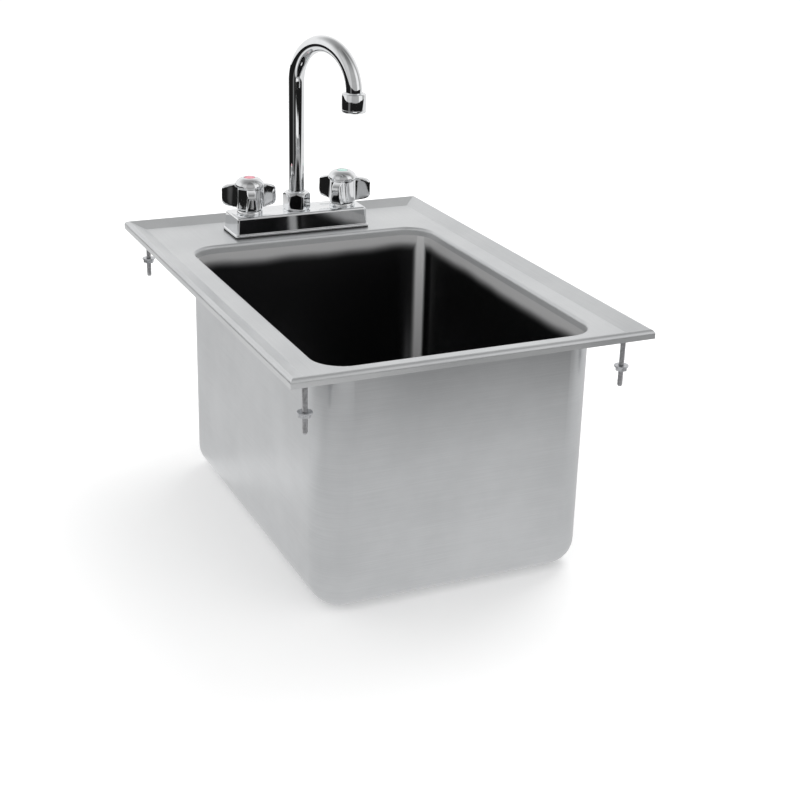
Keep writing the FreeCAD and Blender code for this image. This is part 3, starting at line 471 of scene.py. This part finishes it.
def makeStuds():
    low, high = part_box("mounting_studs")
    weld = studSettings["weldRadius"] * mm
    bottom = low.z / mm
    top = high.z / mm
    threadFrom, threadTo = studSettings["threadEnds"]
    profile = [(radius, bottom + height) for radius, height in studSettings["lowerEnd"]]
    profile += [(radius, top + height) for radius, height in studSettings["upperEnd"]]
    whole = bmesh.new()
    for x in (low.x + weld, high.x - weld):
        for y in (low.y + weld, high.y - weld):
            bm = bmesh.new()
            cutThread(bm, bottom + threadFrom, top + threadTo)
            lathe(bm, profile, studSettings["coreSegments"])
            moved(bm, (x, y, 0))
            spare = bpy.data.meshes.new("spare")
            bm.to_mesh(spare)
            bm.free()
            whole.from_mesh(spare)
            bpy.data.meshes.remove(spare)
    keep(whole, "threadedStuds", "mounting_studs", "sink", sharp=40.0)


makeStuds()
print("studs made")


# winged handles and their index buttons, sizes in mm
handleSettings = {
    "points": 216,
    "wings": 3,
    "wingHalfThickness": 4.5,
    "wingFlare": 1.4,  # wider by this towards the foot
    "flareTop": 26.0,
    "flareHeight": 20.0,
    "blend": 9.0,
    "turns": {"hot": 15.0, "cold": -6.0},
    # height above the cover, hub radius and how far the wings reach: up the bores, then round the outside
    "levels": [
        (33.0, 4.1, 0), (29.6, 4.1, 0), (29.6, 2.2, 0), (26.2, 2.2, 0), (26.2, 3.7, 0), (12.0, 3.7, 0),
        (12.0, 11.9, 0), (11.8, 12.0, 0), (4.5, 12.0, 0), (4.2, 12.3, 0), (4.2, 12.7, 0), (4.45, 13.1, 0),
        (5.2, 13.35, 16.0), (5.6, 13.35, 22.0), (6.1, 13.35, 25.5), (6.9, 13.3, 27.6), (8.2, 13.3, 28.9),
        (10.2, 13.25, 29.7), (13.0, 13.2, 30.0), (17.0, 13.1, 30.0), (21.0, 13.0, 30.0), (23.0, 13.0, 29.8),
        (24.2, 13.0, 29.3), (25.2, 13.0, 28.3), (26.0, 13.05, 26.6), (26.7, 13.2, 24.2), (27.3, 13.6, 21.4),
        (27.9, 14.2, 18.4), (28.5, 14.75, 14.0), (29.2, 14.8, 0), (30.6, 14.5, 0), (32.2, 13.8, 0),
        (33.8, 12.5, 0), (35.0, 11.0, 0), (35.9, 9.4, 0), (36.35, 8.0, 0), (36.5, 6.9, 0), (36.5, 6.1, 0),
        (36.2, 5.7, 0), (35.2, 5.55, 0), (33.2, 5.5, 0), (33.0, 5.4, 0), (33.0, 4.1, 0),
    ],
    "widestLevel": (17.0, 13.1, 30.0),
    "buttonSegments": 72,
    # a shallow crown with a turned groove near its edge
    "buttonProfile": [
        (0, 33.05), (5.3, 33.05), (5.35, 36.1), (5.1, 36.5), (4.6, 36.62), (4.4, 36.45), (4.1, 36.45),
        (3.9, 36.75), (2.8, 37.0), (1.4, 37.15), (0, 37.2),
    ],
}


def handleRadius(level, angle):
    height, hub, reach = level
    if reach < hub * 0.5:
        return hub
    share = math.tau / handleSettings["wings"]
    away = (angle + share / 2) % share - share / 2
    power = handleSettings["blend"]
    flare = max(0, handleSettings["flareTop"] - height) / handleSettings["flareHeight"]
    thick = handleSettings["wingHalfThickness"] + handleSettings["wingFlare"] * flare
    side = thick / max(abs(math.sin(away)), 1e-6)
    tip = reach / math.cos(away)
    wing = (side ** -power + tip ** -power) ** (-1 / power)
    return (hub ** power + wing ** power) ** (1 / power)


def handlePlace(side):
    centre = middle("index_button_" + side)
    return (centre.x, centre.y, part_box("faucet_cover")[1].z)


def makeHandles():
    angles = evenAngles(handleRadius, handleSettings["widestLevel"], handleSettings["points"])
    for side, turn in handleSettings["turns"].items():
        handle = stacked(handleSettings["levels"], handleRadius, angles)
        moved(handle, handlePlace(side), turn)
        keep(handle, side + "Handle", "handle_" + side, side + "_handle", sharp=32.0)


def makeButtons():
    for side in handleSettings["turns"]:
        button = lathe(bmesh.new(), handleSettings["buttonProfile"], handleSettings["buttonSegments"])
        moved(button, handlePlace(side))
        keep(button, side + "IndexButton", "index_button_" + side, side + "_handle", sharp=40.0)


makeHandles()
makeButtons()
print("handles and buttons made")


# faucet cover, sizes in mm
coverSettings = {
    # inset from the flange's edge and height, going up: foot, lip, fillet
    "foot": [(0.25, 0.0), (0.0, 0.25), (0.0, 1.2), (0.25, 1.75), (0.75, 2.1), (1.3, 2.35), (1.52, 2.9)],
    "sideInset": (2.4, 2.45),  # at the top of the leaning side and where the rounded edge begins
    "topRadius": 2.2,
    "topSteps": 6,
    "cornerRadius": 3.0,
    "cornerSegments": 6,
    "wall": 2.0,
    # holes round the valve barrels and the spout post
    "holes": {"bonnet_nut_hot": 9.9, "bonnet_nut_cold": 9.9, "spout_nut": 9.8},
    "holeSegments": 48,
}


def makeFootSheet(halfX, halfY, height):
    # flat sheet with rounded corners, the top of a bevelled box
    bm = bmesh.new()
    corners = bmesh.ops.create_cube(bm, size=2.0)["verts"]
    bmesh.ops.scale(bm, verts=corners, vec=(halfX * mm, halfY * mm, 0.5 * mm))
    bmesh.ops.translate(bm, verts=corners, vec=(0, 0, (height - 0.5) * mm))
    upright = [edge for edge in bm.edges if abs(edge.verts[0].co.z - edge.verts[1].co.z) > 1e-6]
    bmesh.ops.bevel(bm, geom=upright, offset=coverSettings["cornerRadius"] * mm, offset_type="OFFSET",
                    segments=coverSettings["cornerSegments"], profile=0.5, affect="EDGES", material=-1)
    bmesh.ops.delete(bm, geom=[face for face in bm.faces if face.normal.z < 0.9], context="FACES")
    return bm


def makeCover():
    low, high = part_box("faucet_cover")
    centre = middle("faucet_cover")
    bottom = low.z / mm
    tall = high.z / mm - bottom
    radius = coverSettings["topRadius"]
    sideTop, edgeStart = coverSettings["sideInset"]
    steps = coverSettings["foot"] + [(sideTop, tall - radius)]
    for number in range(coverSettings["topSteps"]):
        turn = math.radians(90 * (number + 1) / coverSettings["topSteps"])
        steps.append((edgeStart + radius * (1 - math.cos(turn)), tall - radius * (1 - math.sin(turn))))
    inset = steps[0][0]
    bm = makeFootSheet((high.x - low.x) / 2 / mm - inset, (high.y - low.y) / 2 / mm - inset, bottom)
    face = bm.faces[:][0]
    for nextInset, rise in steps[1:]:
        made = bmesh.ops.extrude_face_region(bm, geom=[face])["geom"]
        bm.faces.remove(face)
        face = pickOut(made, bmesh.types.BMFace)[0]
        outward = (inset - nextInset) * mm
        for corner in face.verts:
            corner.co.x += outward * math.copysign(1, corner.co.x)
            corner.co.y += outward * math.copysign(1, corner.co.y)
            corner.co.z = (bottom + rise) * mm
        inset = nextInset
    edges = list(face.edges)
    bmesh.ops.delete(bm, geom=[face], context="FACES_ONLY")
    for nutName, holeRadius in coverSettings["holes"].items():
        place = middle(nutName) - centre
        circle = bmesh.ops.create_circle(bm, segments=coverSettings["holeSegments"], radius=holeRadius * mm)
        bmesh.ops.translate(bm, verts=circle["verts"], vec=(place.x, place.y, high.z))
        edges += dict.fromkeys(edge for corner in circle["verts"] for edge in corner.link_edges)
    bmesh.ops.triangle_fill(bm, edges=edges, use_beauty=True)
    moved(bm, (centre.x, centre.y, 0))
    piece = keep(bm, "faucetCover", "faucet_cover", "sink", sharp=40.0)
    giveWall(piece, coverSettings["wall"])
    piece.modifiers.new("evenNormals", "WEIGHTED_NORMAL").keep_sharp = True


makeCover()
print("cover made")


# bonnet nuts, sizes in mm above the deck
bonnetSettings = {
    "segments": 96,
    "profile": [
        (9.7, 21.0), (13.2, 21.0), (13.5, 21.3), (13.5, 23.4), (13.1, 24.1), (12.3, 24.5), (11.3, 24.6),
        (11.0, 24.9), (11.0, 29.3), (10.5, 29.9), (5.1, 29.9), (5.1, 28.5), (9.7, 28.5), (9.7, 21.0),
    ],
}


def makeBonnets():
    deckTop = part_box("deck_gasket")[0].z
    for side in ("hot", "cold"):
        centre = middle("bonnet_nut_" + side)
        bonnet = lathe(bmesh.new(), bonnetSettings["profile"], bonnetSettings["segments"])
        moved(bonnet, (centre.x, centre.y, deckTop))
        keep(bonnet, side + "BonnetNut", "bonnet_nut_" + side, "sink", sharp=35.0)


# spout nut, sizes in mm
nutSettings = {
    "points": 144,
    "softness": 60.0,  # of the six corners, higher is sharper
    "cornerRadius": 14.43,
    "turn": -22.0,
    "evenHeight": 8.0,  # the points are spaced evenly here
    # height and limit of the radius: the lower chamfer, and the upper one measured down from the top
    "lower": [(0.0, 12.4), (0.35, 13.4), (0.9, 14.1)],
    "straight": (1.6, -4.2),
    "upper": [(-3.2, 14.2), (-2.3, 13.7), (-1.5, 12.9), (-0.8, 11.9), (-0.3, 10.8), (0.0, 9.8)],
    "boreRadius": 9.6,
    "boreTop": 11.2,
    "neckRadius": 8.3,
    "neckRim": (0.4, 8.32, 8.6),  # depth, radius below and at the top
}


def nutRadius(level, angle):
    height, flat, limit = level
    if flat == 0:
        return limit
    sixth = math.tau / 6
    # one flat faces the front edge
    away = (angle + math.pi / 2 + sixth / 2) % sixth - sixth / 2
    power = nutSettings["softness"]
    side = flat / math.cos(away)
    return (side ** -power + limit ** -power) ** (-1 / power)


def makeSpoutNut():
    low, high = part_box("spout_nut")
    centre = middle("spout_nut")
    tall = (high.z - low.z) / mm
    flat = (high.y - low.y) / 2 / mm
    bore = nutSettings["boreRadius"]
    corner = nutSettings["cornerRadius"]
    straightFrom, straightTo = nutSettings["straight"]
    rimDepth, rimRadius, rimTop = nutSettings["neckRim"]
    levels = [(0.0, 0, bore)]
    levels += [(height, flat, limit) for height, limit in nutSettings["lower"]]
    levels += [(straightFrom, flat, corner), (tall + straightTo, flat, corner)]
    levels += [(tall + height, flat, limit) for height, limit in nutSettings["upper"]]
    levels += [(tall, 0, rimTop), (tall - rimDepth, 0, rimRadius),
               (nutSettings["boreTop"], 0, nutSettings["neckRadius"]), (nutSettings["boreTop"], 0, bore),
               (0.0, 0, bore)]
    angles = evenAngles(nutRadius, (nutSettings["evenHeight"], flat, corner), nutSettings["points"])
    nut = stacked(levels, nutRadius, angles)
    moved(nut, (centre.x, centre.y, low.z), nutSettings["turn"])
    keep(nut, "spoutNut", "spout_nut", "sink", sharp=30.0)


makeBonnets()
makeSpoutNut()
print("nuts made")


# gooseneck tube, sizes in mm
tubeSettings = {
    "radius": 8.0,
    "wall": 1.2,
    "archRadius": 41.5,
    "turn": 21.0,
    "around": 64,
    "archSteps": 72,
    "riserSteps": 12,
    "tipSteps": 2,
}


def makeTube():
    low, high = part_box("spout_tube")
    radius = tubeSettings["radius"] * mm
    arch = tubeSettings["archRadius"] * mm
    base = middle("spout_nut")
    bendHeight = high.z - radius - arch
    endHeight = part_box("spout_tip")[0].z
    bm = bmesh.new()
    circle = bmesh.ops.create_circle(bm, segments=tubeSettings["around"], radius=radius)["verts"]
    bmesh.ops.translate(bm, verts=circle, vec=(0, 0, low.z))
    edges = list(bm.edges)

    def pull(edges, rise):
        made = bmesh.ops.extrude_edge_only(bm, edges=edges)["geom"]
        corners = pickOut(made, bmesh.types.BMVert)
        bmesh.ops.translate(bm, verts=corners, vec=(0, 0, rise))
        return [edge for edge in pickOut(made, bmesh.types.BMEdge) if all(v in corners for v in edge.verts)]

    for part in range(tubeSettings["riserSteps"]):
        edges = pull(edges, (bendHeight - low.z) / tubeSettings["riserSteps"])
    ring = list(dict.fromkeys(corner for edge in edges for corner in edge.verts))
    made = bmesh.ops.spin(bm, geom=ring + edges, cent=(0, -arch, bendHeight), axis=(1, 0, 0),
                          angle=math.pi, steps=tubeSettings["archSteps"], use_duplicate=False)["geom_last"]
    edges = pickOut(made, bmesh.types.BMEdge)
    for part in range(tubeSettings["tipSteps"]):
        edges = pull(edges, (endHeight - bendHeight) / tubeSettings["tipSteps"])
    moved(bm, (base.x, base.y, 0), tubeSettings["turn"])
    giveWall(keep(bm, "gooseneckTube", "spout_tube", "spout", sharp=60.0), tubeSettings["wall"])


# aerator housing, sizes in mm from its lower end
aeratorSettings = {
    "segments": 120,
    "foot": [(9.0, 0.6), (9.4, 0.0), (11.3, 0.0), (11.8, 0.25), (12.0, 0.8)],
    "groove": [(12.0, 2.6), (11.75, 2.9), (11.75, 3.3), (12.0, 3.6)],
    # measured down from the upper end
    "shoulder": [(12.0, -1.6), (11.8, -0.8), (11.3, -0.25), (10.6, 0.0), (8.2, 0.0), (8.1, -0.3),
                 (8.1, -1.8), (10.5, -1.8)],
    "bore": [(10.5, 2.0), (9.0, 2.0), (9.0, 0.6)],
}


def makeAerator():
    low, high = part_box("aerator_housing")
    centre = middle("aerator_housing")
    tall = (high.z - low.z) / mm
    profile = aeratorSettings["foot"] + aeratorSettings["groove"]
    profile += [(radius, tall + height) for radius, height in aeratorSettings["shoulder"]]
    housing = lathe(bmesh.new(), profile + aeratorSettings["bore"], aeratorSettings["segments"])
    moved(housing, (centre.x, centre.y, low.z))
    keep(housing, "aeratorHousing", "aerator_housing", "spout", sharp=35.0)


makeTube()
makeAerator()
print("spout made")


# white floor; polished metal sees a pool of white round the sink that fades to dark out in front
floorSettings = {
    "size": 12.0,
    "colour": (0.96, 0.96, 0.96),
    "glow": 0.14,
    "pool": 0.80,
    "poolFront": 0.213,  # distances ahead and to the left are measured from here
    "poolLeft": 0.127,
    "fadeAhead": (0.30, 0.62),
    "fadeLeft": (0.40, 0.66),
    # a bright path out in front, a light line down the middle of round chrome, and a faint patch beside it
    "bearingFrom": 0.178,
    "path": 0.9,
    "pathRise": (-0.53, -0.47),
    "pathFall": (0.12, 0.20),
    "pathStart": (0.52, 0.62),
    "pathEnd": (1.22, 1.38),
    "patch": 0.14,
    "patchRise": (-1.32, -1.22),
    "patchFall": (-1.0, -0.9),
    "dark": 0.012,
}


def makeFloor():
    bm = bmesh.new()
    bmesh.ops.create_grid(bm, x_segments=1, y_segments=1, size=floorSettings["size"] / 2)
    mesh = bpy.data.meshes.new("floor")
    bm.to_mesh(mesh)
    bm.free()
    floor = bpy.data.objects.new("floor", mesh)
    bpy.context.scene.collection.objects.link(floor)
    white = (1.0, 1.0, 1.0)
    finish = Finish("floorWhite", Roughness=0.9, Base_Color=floorSettings["colour"], Specular_IOR_Level=0.0,
                    Emission_Color=white, Emission_Strength=floorSettings["glow"])
    x = finish.axis("X")
    y = finish.axis("Y")
    ahead = -floorSettings["poolFront"] - y
    leftward = -floorSettings["poolLeft"] - x
    pool = 1 - ahead.clamped(*floorSettings["fadeAhead"])
    pool = pool * (1 - leftward.clamped(*floorSettings["fadeLeft"]))
    bearing = x.angleFrom(floorSettings["bearingFrom"] - y)
    path = bearing.between(floorSettings["pathRise"], floorSettings["pathFall"])
    path = path * ahead.between(floorSettings["pathStart"], floorSettings["pathEnd"])
    patch = bearing.between(floorSettings["patchRise"], floorSettings["patchFall"])
    strength = floorSettings["dark"] + pool * floorSettings["pool"] + path * floorSettings["path"]
    emission = finish.node("ShaderNodeEmission", Strength=strength + patch * floorSettings["patch"])
    seenByMetal = finish.node("ShaderNodeLightPath").out("Is Glossy Ray")
    plain = Wire(finish.tree, finish.shader.outputs[0])
    mixed = addNode(finish.tree, "ShaderNodeMixShader", {}, {0: seenByMetal, 1: plain, 2: emission})
    setSocket(finish.tree, finish.tree.nodes["Material Output"].inputs["Surface"], mixed)
    mesh.materials.append(finish.material)


# white room; polished metal sees it bright behind, dimmer overhead, and with two upright panels in front
worldSettings = {
    "seen": 1.0,
    "fill": 0.92,
    "overhead": (0.45, 0.98),
    "overheadDim": 0.62,
    "rear": 0.90,
    "rearShift": 0.35,
    "rearRange": (0.0, 0.7),
    "front": 0.42,
    "panels": 0.5,
    "leftPanel": 0.4,
    "leftRise": (-1.45, -1.3),
    "leftFall": (-0.85, -0.7),
    "rightRise": (0.35, 0.5),
    "rightFall": (1.0, 1.15),
}


def makeWorld():
    world = bpy.data.worlds.new("studio")
    bpy.context.scene.world = world
    world.use_nodes = True
    tree = world.node_tree
    direction = addNode(tree, "ShaderNodeTexCoord", {}, {}).out("Generated")
    split = addNode(tree, "ShaderNodeSeparateXYZ", {}, {"Vector": direction})
    back = split.out("Y")
    band = 1 - split.out("Z").clamped(*worldSettings["overhead"]) * worldSettings["overheadDim"]
    rear = (back + worldSettings["rearShift"]).clamped(*worldSettings["rearRange"])
    bearing = split.out("X").angleFrom(0.0 - back)
    left = bearing.between(worldSettings["leftRise"], worldSettings["leftFall"])
    right = bearing.between(worldSettings["rightRise"], worldSettings["rightFall"])
    panels = left * worldSettings["leftPanel"] + right
    front = worldSettings["front"] + panels * worldSettings["panels"]
    seenByMetal = band * (rear * worldSettings["rear"] + (1 - rear) * front)
    path = addNode(tree, "ShaderNodeLightPath", {}, {})
    camera = path.out("Is Camera Ray")
    glossy = path.out("Is Glossy Ray")
    fill = camera * worldSettings["seen"] + (1 - camera) * worldSettings["fill"]
    background = tree.nodes["Background"]
    setSocket(tree, background.inputs["Color"], (1.0, 1.0, 1.0))
    setSocket(tree, background.inputs["Strength"], fill * (1 - glossy) + seenByMetal * glossy)


# place, aim, width and height in metres, and watts
lampSettings = {
    "keyLight": ((1.3, 1.0, 1.9), (0, 0, 0.1), (1.6, 1.6), 22),
    "leftLight": ((-1.6, -0.4, 1.1), (0, 0, 0.15), (1.0, 1.6), 3),
}


def makeLamps():
    for name, (place, aim, size, power) in lampSettings.items():
        light = bpy.data.lights.new(name, "AREA")
        light.shape = "RECTANGLE"
        light.size, light.size_y = size
        light.energy = power
        lamp = bpy.data.objects.new(name, light)
        bpy.context.scene.collection.objects.link(lamp)
        lamp.location = place
        lamp.visible_glossy = False  # the metal mirrors the room, not the lamps
        lamp.rotation_euler = (Vector(aim) - Vector(place)).to_track_quat("-Z", "Y").to_euler()


cameraSettings = {
    "azimuth": -25.146,
    "elevation": 22.0126,
    "roll": 1.5717,
    "distance": 1.43165,
    "lens": 68.0457,
    "sensor": 36.0,
    "farEnd": 50.0,
    "aimHeight": 0.2,
    "aimRight": 0.034288,
    "aimUp": -0.091388,
}


def makeCamera():
    azimuth = math.radians(cameraSettings["azimuth"])
    elevation = math.radians(cameraSettings["elevation"])
    roll = math.radians(cameraSettings["roll"])
    back = Vector((math.sin(azimuth) * math.cos(elevation), -math.cos(azimuth) * math.cos(elevation),
                   math.sin(elevation)))
    right = Vector((0, 0, 1)).cross(back).normalized()
    up = back.cross(right)
    turnedRight = right * math.cos(roll) + up * math.sin(roll)
    turnedUp = up * math.cos(roll) - right * math.sin(roll)
    aim = Vector((0, 0, cameraSettings["aimHeight"]))
    aim += turnedRight * cameraSettings["aimRight"] + turnedUp * cameraSettings["aimUp"]
    data = bpy.data.cameras.new("camera")
    data.lens = cameraSettings["lens"]
    data.sensor_width = cameraSettings["sensor"]
    data.clip_end = cameraSettings["farEnd"]
    camera = bpy.data.objects.new("camera", data)
    bpy.context.scene.collection.objects.link(camera)
    turned = Matrix((turnedRight, turnedUp, back)).transposed()
    camera.matrix_world = Matrix.Translation(aim + back * cameraSettings["distance"]) @ turned.to_4x4()
    bpy.context.scene.camera = camera


makeFloor()
makeWorld()
makeLamps()
makeCamera()
bpy.context.scene.view_settings.view_transform = "Standard"
print("studio made")
